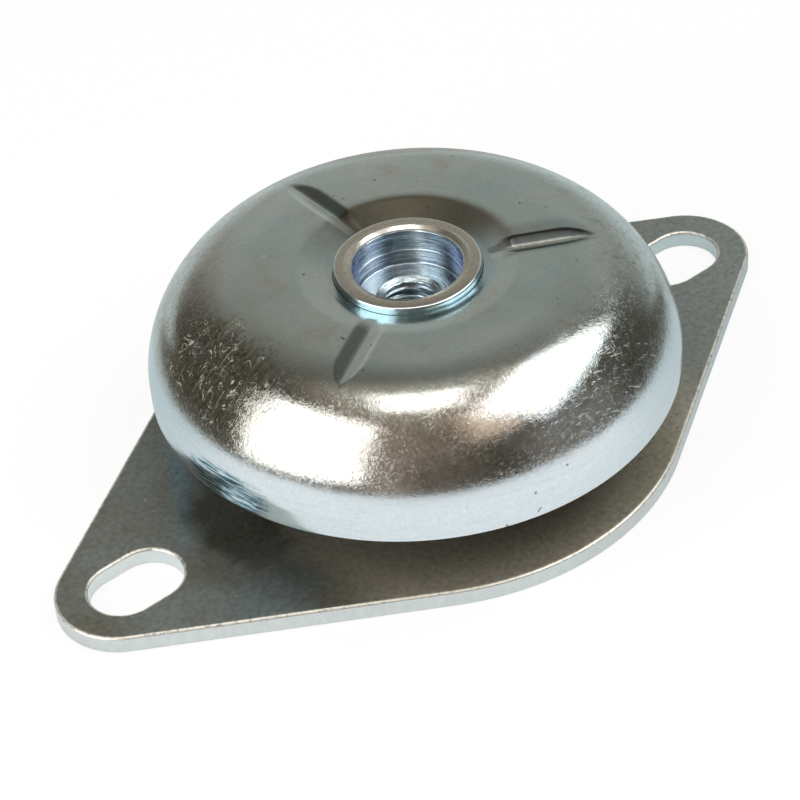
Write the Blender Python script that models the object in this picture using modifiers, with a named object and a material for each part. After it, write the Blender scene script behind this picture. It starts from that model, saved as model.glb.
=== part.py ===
"""Anti-vibration bell mount.

A flat slotted plate stands on the foundation and carries a drawn collar in its
middle. A rubber body is bonded over the collar, and the pressed steel bell and
its threaded boss sit on the rubber. A rebound washer, held on the end of the
boss inside the collar, keeps the bell from pulling off.

All sizes are in metres. The plate lies on z = 0, the slots lie on the X axis
and the bell moves along Z.
"""

import math

import bmesh
import bpy

# General
TOUCH_GAP = 0.0003
CUT_OVERRUN = 0.002
JOIN_SINK = 0.00005
MERGE_DISTANCE = 0.000005
SHARP_ANGLE = math.radians(32)

# Base plate
PLATE_THICKNESS = 0.0035
PLATE_WIDTH = 0.1004
PLATE_SIDE_RADIUS = 0.0513
EAR_SPACING = 0.1398
EAR_RADIUS = 0.0128
SLOT_INSET = 0.00265
SLOT_LENGTH = 0.0184
SLOT_WIDTH = 0.0132
SHEARED_EDGE = 0.0004

# Collar drawn up in the middle of the base plate
COLLAR_HEIGHT = 0.0186
COLLAR_FOOT_RADIUS = 0.030
COLLAR_BEND = 0.003
COLLAR_INNER_BEND = 0.001

# Bell
BELL_DIAMETER = 0.100
BELL_SHEET = 0.0025
SKIRT_HEIGHT_ABOVE_FLOOR = 0.016
CROWN_HEIGHT = 0.0395
SHOULDER_WIDTH = 0.0165
SHOULDER_FULLNESS = 1.65
SKIRT_STRAIGHT = 0.004
SKIRT_EDGE = 0.0005
DISH_DEPTH = 0.0015
DISH_FLOOR_WIDTH = 0.0009
DISH_SLOPE_WIDTH = 0.0055
DISH_BEND = 0.005

# Three grooves pressed into the crown
GROOVE_COUNT = 3
GROOVE_FIRST_ANGLE = math.radians(90)
GROOVE_END_INSET = 0.0115
GROOVE_HALF_WIDTH = 0.0028
GROOVE_ROOT_HALF_WIDTH = 0.0002
GROOVE_DEPTH = 0.0009
GROOVE_END_SLOPE = 0.0015

# Threaded boss
BOSS_HEAD_RADIUS = 0.0138
BOSS_TOP_EDGE = 0.0005
BOSS_STEM_RADIUS = 0.013
BOSS_FLANGE_WIDTH = 0.0032
BOSS_FLANGE_THICKNESS = 0.003
COUNTERBORE_RADIUS = 0.0102
COUNTERBORE_DEPTH = 0.008
COUNTERBORE_EDGE = 0.0008
COUNTERSINK_RADIUS = 0.0064
COUNTERSINK_DEPTH = 0.00075
THREAD_MINOR_RADIUS = 0.0051
THREAD_LEAD_IN = 0.0009
SPIGOT_RADIUS = 0.010
PEENED_LIP = 0.0016
PEENED_END_THICKNESS = 0.0015
PEENED_EDGE = 0.0006

# Rebound washer
WASHER_RADIUS = 0.019
WASHER_THICKNESS = 0.003
WASHER_EDGE = 0.0003
WASHER_OVERLAP = 0.0021
REBOUND_TRAVEL = 0.0025

# Rubber body
RUBBER_WAIST_WALL = 0.0075
RUBBER_FOOT_WALL = 0.0045
RUBBER_WAIST_BEND = 0.012
RUBBER_EDGE = 0.0008
RUBBER_WAIST_HEIGHT_SHARE = 0.52

# Facets round a full turn, and in each bend
BELL_STEPS = 72
BOSS_STEPS = 48
COLLAR_STEPS = 48
WASHER_STEPS = 48
RUBBER_STEPS = 48
BEND_STEPS = 3
SHOULDER_STEPS = 9
SIDE_ARC_STEPS = 18
EAR_ARC_STEPS = 12
SLOT_ARC_STEPS = 10

# Radii worked out from the sizes above: the collar goes round the washer and holds it below its
# lip, the dish goes round the boss, and the rubber follows the flat crown and the collar.
SLOT_SPACING = EAR_SPACING - 2 * SLOT_INSET
BELL_RADIUS = BELL_DIAMETER / 2
SHOULDER_START = BELL_RADIUS - SHOULDER_WIDTH
GROOVE_END_RADIUS = BELL_RADIUS - GROOVE_END_INSET
DISH_FLOOR_RADIUS = BOSS_HEAD_RADIUS + DISH_FLOOR_WIDTH
DISH_RIM_RADIUS = DISH_FLOOR_RADIUS + DISH_SLOPE_WIDTH
BOSS_FLANGE_RADIUS = BOSS_HEAD_RADIUS + BOSS_FLANGE_WIDTH
PEENED_END_RADIUS = SPIGOT_RADIUS + PEENED_LIP
COLLAR_HOLE_RADIUS = WASHER_RADIUS - WASHER_OVERLAP
COLLAR_TOP_RADIUS = WASHER_RADIUS + PLATE_THICKNESS
RUBBER_TOP_RADIUS = SHOULDER_START
RUBBER_WAIST_RADIUS = COLLAR_TOP_RADIUS + RUBBER_WAIST_WALL
RUBBER_FOOT_RADIUS = COLLAR_FOOT_RADIUS + RUBBER_FOOT_WALL

# Heights worked out from the sizes above
SHOULDER_DROP = CROWN_HEIGHT - SKIRT_HEIGHT_ABOVE_FLOOR - SKIRT_STRAIGHT
DISH_HEIGHT = CROWN_HEIGHT - DISH_DEPTH
CROWN_UNDERSIDE = CROWN_HEIGHT - BELL_SHEET
DISH_UNDERSIDE = DISH_HEIGHT - BELL_SHEET
FLANGE_TOP = DISH_UNDERSIDE - TOUCH_GAP
FLANGE_BOTTOM = FLANGE_TOP - BOSS_FLANGE_THICKNESS
LIP_UNDERSIDE = COLLAR_HEIGHT - PLATE_THICKNESS
WASHER_TOP = LIP_UNDERSIDE - REBOUND_TRAVEL - TOUCH_GAP
WASHER_BOTTOM = WASHER_TOP - WASHER_THICKNESS
STEM_BOTTOM = WASHER_TOP + TOUCH_GAP
PEENED_TOP = WASHER_BOTTOM - TOUCH_GAP
BOSS_BOTTOM = PEENED_TOP - PEENED_END_THICKNESS


def clear_scene():
    """Empty the scene of the objects it starts with."""
    for item in list(bpy.data.objects):
        bpy.data.objects.remove(item, do_unlink=True)


def new_collection(name):
    """A collection linked to the scene."""
    collection = bpy.data.collections.new(name)
    bpy.context.scene.collection.children.link(collection)
    return collection


def steel(name, colour, roughness):
    """Zinc-plated steel in one shade."""
    return principled(name, colour, roughness, 1.0)


def principled(name, colour, roughness, metallic):
    """A material with one Principled BSDF."""
    made = bpy.data.materials.new(name)
    made.use_nodes = True
    shader = made.node_tree.nodes["Principled BSDF"]
    shader.inputs["Base Color"].default_value = (*colour, 1.0)
    shader.inputs["Roughness"].default_value = roughness
    shader.inputs["Metallic"].default_value = metallic
    made.diffuse_color = (*colour, 1.0)
    return made


def rounded(corners, steps):
    """A path through (x, z, bend radius) corners, with each bend an arc."""
    path = []
    for index, (x, z, radius) in enumerate(corners):
        if radius == 0:
            path.append((x, z))
            continue
        before = corners[index - 1]
        after = corners[(index + 1) % len(corners)]
        into = unit(x - before[0], z - before[1])
        out = unit(after[0] - x, after[1] - z)
        turn = math.atan2(into[0] * out[1] - into[1] * out[0], into[0] * out[0] + into[1] * out[1])
        reach = radius * math.tan(abs(turn) / 2)
        side = math.copysign(1, turn)
        start = (x - into[0] * reach, z - into[1] * reach)
        centre = (start[0] - side * into[1] * radius, start[1] + side * into[0] * radius)
        first = math.atan2(start[1] - centre[1], start[0] - centre[0])
        for step in range(steps + 1):
            angle = first + turn * step / steps
            path.append((centre[0] + radius * math.cos(angle), centre[1] + radius * math.sin(angle)))
    return path


def unit(x, z):
    """A direction of length one."""
    length = math.hypot(x, z)
    return x / length, z / length


def arc(centre_x, centre_y, radius, start, end, steps):
    """Points of a circular arc, both ends included."""
    angles = [start + (end - start) * step / steps for step in range(steps + 1)]
    return [(centre_x + radius * math.cos(a), centre_y + radius * math.sin(a)) for a in angles]


def turned(name, profile, steps, collection):
    """A turned solid: a closed (x, z) profile that runs down its outer side, swept about Z."""
    mesh = bpy.data.meshes.new(name)
    shape = bmesh.new()
    points = [shape.verts.new((x, 0, z)) for x, z in profile]
    on_axis = profile[0][0] == 0 and profile[-1][0] == 0
    last = len(points) - 1 if on_axis else len(points)
    for index in range(last):
        shape.edges.new((points[index], points[(index + 1) % len(points)]))
    shape.to_mesh(mesh)
    shape.free()
    solid = bpy.data.objects.new(name, mesh)
    collection.objects.link(solid)
    screw = solid.modifiers.new("Turn", "SCREW")
    screw.steps = steps
    screw.render_steps = steps
    screw.use_merge_vertices = True
    screw.merge_threshold = MERGE_DISTANCE
    screw.use_smooth_shade = True
    return solid


def cut(solid, tool, operation="DIFFERENCE"):
    """Boolean of a tool on a solid."""
    step = solid.modifiers.new(tool.name, "BOOLEAN")
    step.operation = operation
    step.object = tool
    step.solver = "EXACT"


def as_cutter(tool):
    """Show a tool as wire only and keep it out of renders."""
    tool.display_type = "WIRE"
    tool.hide_render = True
    return tool


def settle(solid, material):
    """Apply the modifiers, shade round faces smooth and give the material."""
    graph = bpy.context.evaluated_depsgraph_get()
    made = bpy.data.meshes.new_from_object(solid.evaluated_get(graph))
    solid.modifiers.clear()
    solid.data = made
    made.name = solid.name
    made.shade_smooth()
    made.set_sharp_from_angle(angle=SHARP_ANGLE)
    made.materials.clear()
    made.materials.append(material)
    return solid


def plate_outline():
    """The plate's edge: two ear arcs and two wide side arcs, joined by their tangents."""
    side_offset = PLATE_SIDE_RADIUS - PLATE_WIDTH / 2
    ear = EAR_SPACING / 2
    apart = math.hypot(ear, side_offset)
    tangent = math.atan2(side_offset, ear) + math.acos((PLATE_SIDE_RADIUS - EAR_RADIUS) / apart)
    right_ear = arc(ear, 0, EAR_RADIUS, -tangent, tangent, EAR_ARC_STEPS)
    far_side = arc(0, -side_offset, PLATE_SIDE_RADIUS, tangent, math.pi - tangent, SIDE_ARC_STEPS)
    half = right_ear + far_side
    return half + [(-x, -y) for x, y in half]


def slot_outline(centre_x):
    """A slot with round ends, along X."""
    reach = (SLOT_LENGTH - SLOT_WIDTH) / 2
    radius = SLOT_WIDTH / 2
    quarter = math.pi / 2
    return arc(centre_x + reach, 0, radius, -quarter, quarter, SLOT_ARC_STEPS) + arc(
        centre_x - reach, 0, radius, quarter, 3 * quarter, SLOT_ARC_STEPS
    )


def blank(name, outlines, thickness, collection):
    """A flat blank: closed outlines, the later ones holes, with its underside on z = 0."""
    curve = bpy.data.curves.new(name, "CURVE")
    curve.dimensions = "2D"
    curve.fill_mode = "BOTH"
    curve.extrude = thickness / 2
    for outline in outlines:
        spline = curve.splines.new("POLY")
        spline.points.add(len(outline) - 1)
        for point, (x, y) in zip(spline.points, outline):
            point.co = (x, y, 0, 1)
        spline.use_cyclic_u = True
    drawn = bpy.data.objects.new(name + "_curve", curve)
    collection.objects.link(drawn)
    drawn.location.z = thickness / 2
    bpy.context.view_layer.update()
    graph = bpy.context.evaluated_depsgraph_get()
    mesh = bpy.data.meshes.new_from_object(drawn.evaluated_get(graph))
    shape = bmesh.new()
    shape.from_mesh(mesh)
    bmesh.ops.remove_doubles(shape, verts=shape.verts, dist=MERGE_DISTANCE)
    shape.to_mesh(mesh)
    shape.free()
    solid = bpy.data.objects.new(name, mesh)
    solid.matrix_world = drawn.matrix_world
    collection.objects.link(solid)
    bpy.data.objects.remove(drawn, do_unlink=True)
    return solid


def collar_slope():
    """How far the collar's wall leans in for each metre of height."""
    return (COLLAR_FOOT_RADIUS - COLLAR_TOP_RADIUS) / (COLLAR_HEIGHT - PLATE_THICKNESS)


def collar_radius(height, offset):
    """The radius of the collar's outer wall at a height, moved out by an offset square to the wall."""
    slope = collar_slope()
    return COLLAR_TOP_RADIUS + (COLLAR_HEIGHT - height) * slope + offset * math.hypot(1, slope)


def collar_form(cutters):
    """The solid that raises the collar on the plate."""
    foot = PLATE_THICKNESS - JOIN_SINK
    foot_radius = collar_radius(foot, 0)
    foot_end = foot_radius + COLLAR_BEND
    corners = [
        (0, COLLAR_HEIGHT, 0),
        (COLLAR_TOP_RADIUS, COLLAR_HEIGHT, COLLAR_BEND),
        (foot_radius, foot, COLLAR_BEND),
        (foot_end, foot, 0),
        (foot_end, PLATE_THICKNESS / 2, 0),
        (0, PLATE_THICKNESS / 2, 0),
    ]
    return as_cutter(turned("collar_form", rounded(corners, BEND_STEPS), COLLAR_STEPS, cutters))


def collar_core(cutters):
    """The hollow under the collar, with the hole in its lip."""
    above = COLLAR_HEIGHT + CUT_OVERRUN
    below = -CUT_OVERRUN
    mouth = -JOIN_SINK
    mouth_radius = collar_radius(mouth, -PLATE_THICKNESS)
    mouth_bend = COLLAR_BEND + PLATE_THICKNESS
    mouth_end = mouth_radius + mouth_bend
    corners = [
        (0, above, 0),
        (COLLAR_HOLE_RADIUS, above, 0),
        (COLLAR_HOLE_RADIUS, LIP_UNDERSIDE, 0),
        (collar_radius(LIP_UNDERSIDE, -PLATE_THICKNESS), LIP_UNDERSIDE, COLLAR_INNER_BEND),
        (mouth_radius, mouth, mouth_bend),
        (mouth_end, mouth, 0),
        (mouth_end, below, 0),
        (0, below, 0),
    ]
    return as_cutter(turned("collar_core", rounded(corners, BEND_STEPS), COLLAR_STEPS, cutters))


def base_plate(parts, cutters):
    """Slotted plate, blanked and drawn from one sheet."""
    slots = [slot_outline(side * SLOT_SPACING / 2) for side in (-1, 1)]
    plate = blank("base_plate", [plate_outline(), *slots], PLATE_THICKNESS, parts)
    edge = plate.modifiers.new("Sheared edge", "BEVEL")
    edge.width = SHEARED_EDGE
    edge.segments = 1
    edge.limit_method = "ANGLE"
    cut(plate, collar_form(cutters), "UNION")
    cut(plate, collar_core(cutters))
    return settle(plate, steel("plate_zinc", (0.20, 0.19, 0.16), 0.38))


def bell_surface(inset):
    """The bell's outer form, or with an inset its inner one, as a profile from the axis to the skirt."""
    crown = CROWN_HEIGHT - inset
    dish = DISH_HEIGHT - inset
    width = SHOULDER_WIDTH - inset
    drop = SHOULDER_DROP - inset
    profile = rounded(
        [
            (0, dish, 0),
            (DISH_FLOOR_RADIUS, dish, DISH_BEND),
            (DISH_RIM_RADIUS, crown, DISH_BEND),
            (SHOULDER_START, crown, 0),
        ],
        BEND_STEPS,
    )
    power = 2 / SHOULDER_FULLNESS
    for step in range(1, SHOULDER_STEPS + 1):
        angle = math.pi / 2 * step / SHOULDER_STEPS
        out = width * math.sin(angle) ** power
        down = drop * (1 - max(math.cos(angle), 0) ** power)
        profile.append((SHOULDER_START + out, crown - down))
    return profile


def bell_form(name, inset, floor, edge, collection):
    """A closed solid under the bell's outer or inner surface."""
    profile = bell_surface(inset)
    skirt = BELL_RADIUS - inset
    if edge:
        profile += [(skirt, floor + edge), (skirt - edge, floor)]
    else:
        profile.append((skirt, floor))
    profile.append((0, floor))
    return turned(name, profile, BELL_STEPS, collection)


def groove_tool(name, number, inset, cutters):
    """A keel that presses one groove, or with an inset the ridge under it."""
    flank = math.atan2(GROOVE_DEPTH, GROOVE_HALF_WIDTH - GROOVE_ROOT_HALF_WIDTH)
    root = CROWN_HEIGHT - GROOVE_DEPTH - inset
    top = CROWN_HEIGHT + CUT_OVERRUN
    half_root = GROOVE_ROOT_HALF_WIDTH + inset * math.tan(flank / 2)
    half_top = half_root + (top - root) / math.tan(flank)
    end_lean = GROOVE_END_SLOPE / GROOVE_DEPTH
    root_end = GROOVE_END_RADIUS - GROOVE_END_SLOPE + inset
    top_end = root_end + (top - root) * end_lean
    shape = bmesh.new()
    for side in (-1, 1):
        shape.verts.new((0, side * half_root, root))
        shape.verts.new((0, side * half_top, top))
        shape.verts.new((root_end, side * half_root, root))
        shape.verts.new((top_end, side * half_top, top))
    bmesh.ops.convex_hull(shape, input=shape.verts)
    bmesh.ops.recalc_face_normals(shape, faces=shape.faces)
    mesh = bpy.data.meshes.new(name)
    shape.to_mesh(mesh)
    shape.free()
    tool = bpy.data.objects.new(name, mesh)
    tool.rotation_euler.z = GROOVE_FIRST_ANGLE + 2 * math.pi * number / GROOVE_COUNT
    cutters.objects.link(tool)
    return as_cutter(tool)


def cut_grooves(solid, inset, cutters):
    """Cut the three grooves, or the room for their ridges, out of a solid."""
    for number in range(GROOVE_COUNT):
        cut(solid, groove_tool(f"{solid.name}_groove_{number + 1}", number, inset, cutters))


def bell_cap(parts, cutters):
    """Pressed bell: dish round the boss, three grooves, rounded shoulder and straight skirt."""
    floor = SKIRT_HEIGHT_ABOVE_FLOOR
    bell = bell_form("bell_cap", 0, floor, SKIRT_EDGE, parts)
    cut_grooves(bell, 0, cutters)
    core = as_cutter(bell_form("bell_core", BELL_SHEET, floor - CUT_OVERRUN, 0, cutters))
    cut_grooves(core, BELL_SHEET, cutters)
    cut(bell, core)
    hole_radius = BOSS_HEAD_RADIUS + TOUCH_GAP
    above = CROWN_HEIGHT + CUT_OVERRUN
    below = DISH_UNDERSIDE - CUT_OVERRUN
    hole = [(0, above), (hole_radius, above), (hole_radius, below), (0, below)]
    cut(bell, as_cutter(turned("bell_hole", hole, BOSS_STEPS, cutters)))
    return settle(bell, steel("bell_zinc", (0.42, 0.45, 0.43), 0.28))


def threaded_boss(parts):
    """Turned boss with counterbore and threaded hole; its end is peened over the washer."""
    bore_floor = CROWN_HEIGHT - COUNTERBORE_DEPTH
    profile = [
        (COUNTERBORE_RADIUS + COUNTERBORE_EDGE, CROWN_HEIGHT),
        (BOSS_HEAD_RADIUS - BOSS_TOP_EDGE, CROWN_HEIGHT),
        (BOSS_HEAD_RADIUS, CROWN_HEIGHT - BOSS_TOP_EDGE),
        (BOSS_HEAD_RADIUS, FLANGE_TOP),
        (BOSS_FLANGE_RADIUS, FLANGE_TOP),
        (BOSS_FLANGE_RADIUS, FLANGE_BOTTOM),
        (BOSS_STEM_RADIUS, FLANGE_BOTTOM),
        (BOSS_STEM_RADIUS, STEM_BOTTOM),
        (SPIGOT_RADIUS, STEM_BOTTOM),
        (SPIGOT_RADIUS, PEENED_TOP),
        (PEENED_END_RADIUS, PEENED_TOP),
        (PEENED_END_RADIUS - PEENED_EDGE, BOSS_BOTTOM),
        (THREAD_MINOR_RADIUS + THREAD_LEAD_IN, BOSS_BOTTOM),
        (THREAD_MINOR_RADIUS, BOSS_BOTTOM + THREAD_LEAD_IN),
        (THREAD_MINOR_RADIUS, bore_floor - COUNTERSINK_DEPTH),
        (COUNTERSINK_RADIUS, bore_floor),
        (COUNTERBORE_RADIUS, bore_floor),
        (COUNTERBORE_RADIUS, CROWN_HEIGHT - COUNTERBORE_EDGE),
    ]
    boss = turned("threaded_boss", profile, BOSS_STEPS, parts)
    return settle(boss, steel("boss_steel", (0.36, 0.31, 0.25), 0.30))


def rebound_washer(parts):
    """Thick washer, wider than the collar's hole, that stops the bell pulling off."""
    inner = SPIGOT_RADIUS + TOUCH_GAP
    profile = [
        (inner, WASHER_TOP),
        (WASHER_RADIUS - WASHER_EDGE, WASHER_TOP),
        (WASHER_RADIUS, WASHER_TOP - WASHER_EDGE),
        (WASHER_RADIUS, WASHER_BOTTOM + WASHER_EDGE),
        (WASHER_RADIUS - WASHER_EDGE, WASHER_BOTTOM),
        (inner, WASHER_BOTTOM),
    ]
    washer = turned("rebound_washer", profile, WASHER_STEPS, parts)
    return settle(washer, steel("washer_zinc", (0.40, 0.42, 0.41), 0.35))


def rubber_body(parts, cutters):
    """Rubber moulded between the collar, the boss and the bell, with a waist outside."""
    top = CROWN_UNDERSIDE - TOUCH_GAP
    foot = PLATE_THICKNESS + TOUCH_GAP
    seat = COLLAR_HEIGHT + TOUCH_GAP
    stem = BOSS_STEM_RADIUS + TOUCH_GAP
    flange = BOSS_FLANGE_RADIUS + TOUCH_GAP
    under_flange = FLANGE_BOTTOM - TOUCH_GAP
    waist = foot + (top - foot) * RUBBER_WAIST_HEIGHT_SHARE
    outer = rounded(
        [
            (DISH_RIM_RADIUS + RUBBER_EDGE, top, 0),
            (RUBBER_TOP_RADIUS, top, RUBBER_EDGE),
            (RUBBER_WAIST_RADIUS, waist, RUBBER_WAIST_BEND),
            (RUBBER_FOOT_RADIUS, foot, RUBBER_EDGE),
            (collar_radius(foot, TOUCH_GAP), foot, COLLAR_BEND - TOUCH_GAP),
            (collar_radius(seat, TOUCH_GAP), seat, COLLAR_BEND + TOUCH_GAP),
            (stem, seat, 0),
            (stem, under_flange, 0),
            (flange, under_flange, 0),
            (flange, FLANGE_TOP, 0),
        ],
        BEND_STEPS,
    )
    rubber = turned("rubber_body", outer, RUBBER_STEPS, parts)
    cut_grooves(rubber, BELL_SHEET + TOUCH_GAP, cutters)
    return settle(rubber, principled("black_rubber", (0.018, 0.018, 0.018), 0.62, 0.0))


def hang_on(empty_name, pieces, height, collection):
    """Parent pieces to an empty on the travel axis, so that they move as one."""
    empty = bpy.data.objects.new(empty_name, None)
    empty.location.z = height
    collection.objects.link(empty)
    bpy.context.view_layer.update()
    for piece in pieces:
        piece.parent = empty
        piece.matrix_parent_inverse = empty.matrix_world.inverted()


clear_scene()
mount_parts = new_collection("bell_mount")
mount_cutters = new_collection("bell_mount_cutters")
base_plate(mount_parts, mount_cutters)
rubber_body(mount_parts, mount_cutters)
moving = [bell_cap(mount_parts, mount_cutters), threaded_boss(mount_parts), rebound_washer(mount_parts)]
hang_on("bell_travel_axis", moving, CROWN_HEIGHT, mount_parts)
bpy.context.view_layer.update()
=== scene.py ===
import math

import bmesh
import bpy
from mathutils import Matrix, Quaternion, Vector


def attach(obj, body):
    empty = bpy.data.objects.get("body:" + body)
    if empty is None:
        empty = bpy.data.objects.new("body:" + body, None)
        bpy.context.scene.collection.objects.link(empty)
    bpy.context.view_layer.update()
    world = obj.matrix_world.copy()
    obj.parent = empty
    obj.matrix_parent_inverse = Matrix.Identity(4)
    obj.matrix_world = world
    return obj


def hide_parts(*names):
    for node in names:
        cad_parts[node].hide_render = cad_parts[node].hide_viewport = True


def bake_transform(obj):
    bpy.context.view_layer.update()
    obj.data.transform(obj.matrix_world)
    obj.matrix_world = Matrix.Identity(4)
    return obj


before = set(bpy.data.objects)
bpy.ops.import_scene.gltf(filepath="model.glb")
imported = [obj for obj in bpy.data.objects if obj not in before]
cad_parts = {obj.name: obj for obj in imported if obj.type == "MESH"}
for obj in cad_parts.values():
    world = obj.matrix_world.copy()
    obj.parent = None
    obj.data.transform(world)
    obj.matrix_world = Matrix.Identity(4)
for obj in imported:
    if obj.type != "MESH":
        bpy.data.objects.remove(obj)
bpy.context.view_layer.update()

# Base plate: a lozenge of zinc-plated steel sheet, blanked with two slots, its middle drawn up
# into a collar whose lip holds the rebound washer down. The punch has rolled the upper edges over
# and left the lower ones with a small break.
PLATE_THICKNESS = 0.0035
PLATE_WIDTH = 0.1004
PLATE_SIDE_RADIUS = 0.0513
EAR_SPACING = 0.1398
EAR_RADIUS = 0.0128
SLOT_SPACING = 0.1345
SLOT_LENGTH = 0.0184
SLOT_WIDTH = 0.0132
ROLLED_EDGE_WIDTH = 0.0008
ROLLED_EDGE_DEPTH = 0.0005
LOWER_EDGE = 0.0003
FLAT_MARGIN = 0.0003
COLLAR_HEIGHT = 0.0186
COLLAR_FOOT_RADIUS = 0.030
COLLAR_TOP_RADIUS = 0.0225
COLLAR_BEND = 0.003
COLLAR_INNER_BEND = 0.001
COLLAR_HOLE_RADIUS = 0.0169
COLLAR_HOLE_EDGE = 0.0004
SHEARED_WALL_SHARE = 0.55
ROUND_STEPS = 128
EAR_STEPS = 48
SIDE_STEPS = 72
SLOT_END_STEPS = 32
ROLLED_EDGE_STEPS = 6
LOWER_EDGE_STEPS = 3
COLLAR_BEND_STEPS = 8
SMOOTH_ANGLE = math.radians(38)
PLATE_MARK_DEPTH = 0.004
SCRATCH_CORE_SHARE = 0.72
SPOT_CORE_SHARE = 0.55
MIX_FACTOR, MIX_FIRST, MIX_SECOND, MIX_RESULT = 0, 6, 7, 2


def arc(centre_x, centre_y, radius, start, end, steps):
    """Points of a circular arc, both ends included."""
    angles = [start + (end - start) * step / steps for step in range(steps + 1)]
    return [(centre_x + radius * math.cos(a), centre_y + radius * math.sin(a)) for a in angles]


def unit(x, z):
    """A direction of length one."""
    length = math.hypot(x, z)
    return x / length, z / length


def bent(corners, steps):
    """An open path through (radius, height, bend) corners, with each bend an arc."""
    path = []
    for index, (x, z, bend) in enumerate(corners):
        if bend == 0:
            path.append((x, z))
            continue
        into = unit(x - corners[index - 1][0], z - corners[index - 1][1])
        out = unit(corners[index + 1][0] - x, corners[index + 1][1] - z)
        turn = math.atan2(into[0] * out[1] - into[1] * out[0], into[0] * out[0] + into[1] * out[1])
        reach = bend * math.tan(abs(turn) / 2)
        side = math.copysign(1, turn)
        start = (x - into[0] * reach, z - into[1] * reach)
        centre = (start[0] - side * into[1] * bend, start[1] + side * into[0] * bend)
        first = math.atan2(start[1] - centre[1], start[0] - centre[0])
        for step in range(steps + 1):
            angle = first + turn * step / steps
            path.append((centre[0] + bend * math.cos(angle), centre[1] + bend * math.sin(angle)))
    return path


def round_angles(steps):
    """Equal angles round a full turn."""
    return [2 * math.pi * step / steps for step in range(steps)]


def loop(shape, points, height):
    """A closed row of vertices at one height."""
    return [shape.verts.new((x, y, height)) for x, y in points]


def skin(shape, rows):
    """Faces between closed rows of as many vertices."""
    for upper, lower in zip(rows, rows[1:]):
        for index in range(len(upper)):
            after = (index + 1) % len(upper)
            shape.faces.new((upper[index], upper[after], lower[after], lower[index]))


def turned_rows(shape, profile, angles):
    """Rows of vertices of a turned surface, one for each (radius, height) point."""
    return [loop(shape, [(r * math.cos(a), r * math.sin(a)) for a in angles], z) for r, z in profile]


def smooth(mesh):
    """Smooth shading, with the sharp corners kept."""
    mesh.shade_smooth()
    mesh.set_sharp_from_angle(angle=SMOOTH_ANGLE)


def as_piece(name, shape, material=None):
    """A smooth-shaded object from a closed shape, with its faces pointing out."""
    bmesh.ops.recalc_face_normals(shape, faces=shape.faces)
    mesh = bpy.data.meshes.new(name)
    shape.to_mesh(mesh)
    shape.free()
    smooth(mesh)
    if material:
        mesh.materials.append(material)
    piece = bpy.data.objects.new(name, mesh)
    bpy.context.scene.collection.objects.link(piece)
    return piece


def plate_outline(inset):
    """The plate's edge, moved in by an inset: two ear arcs and two wide side arcs."""
    side_offset = PLATE_SIDE_RADIUS - PLATE_WIDTH / 2
    ear = EAR_SPACING / 2
    apart = math.hypot(ear, side_offset)
    tangent = math.atan2(side_offset, ear) + math.acos((PLATE_SIDE_RADIUS - EAR_RADIUS) / apart)
    right_ear = arc(ear, 0, EAR_RADIUS - inset, -tangent, tangent, EAR_STEPS)
    side_radius = PLATE_SIDE_RADIUS - inset
    far_side = arc(0, -side_offset, side_radius, tangent, math.pi - tangent, SIDE_STEPS)
    half = right_ear + far_side
    return half + [(-x, -y) for x, y in half]


def slot_outline(centre_x, inset):
    """A slot with round ends, made wider by an inset into the metal."""
    reach = (SLOT_LENGTH - SLOT_WIDTH) / 2
    radius = SLOT_WIDTH / 2 + inset
    quarter = math.pi / 2
    right_end = arc(centre_x + reach, 0, radius, -quarter, quarter, SLOT_END_STEPS)
    left_end = arc(centre_x - reach, 0, radius, quarter, 3 * quarter, SLOT_END_STEPS)
    return right_end + left_end


def sheared_edge():
    """(inset, height) down a sheared edge: rolled over above, straight, with a small break below."""
    rows = [(ROLLED_EDGE_WIDTH + FLAT_MARGIN, PLATE_THICKNESS)]
    for step in range(ROLLED_EDGE_STEPS + 1):
        turn = math.pi / 2 * step / ROLLED_EDGE_STEPS
        inset = ROLLED_EDGE_WIDTH * (1 - math.sin(turn))
        rows.append((inset, PLATE_THICKNESS - ROLLED_EDGE_DEPTH * (1 - math.cos(turn))))
    rows.append((0, PLATE_THICKNESS * SHEARED_WALL_SHARE))
    for step in range(LOWER_EDGE_STEPS + 1):
        turn = math.pi / 2 * step / LOWER_EDGE_STEPS
        rows.append((LOWER_EDGE * (1 - math.cos(turn)), LOWER_EDGE * (1 - math.sin(turn))))
    rows.append((LOWER_EDGE + FLAT_MARGIN, 0))
    return rows


def collar_radius(height, offset):
    """The radius of the collar's outer wall at a height, moved out square to the wall."""
    slope = (COLLAR_FOOT_RADIUS - COLLAR_TOP_RADIUS) / (COLLAR_HEIGHT - PLATE_THICKNESS)
    return COLLAR_TOP_RADIUS + (COLLAR_HEIGHT - height) * slope + offset * math.hypot(1, slope)


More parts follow.
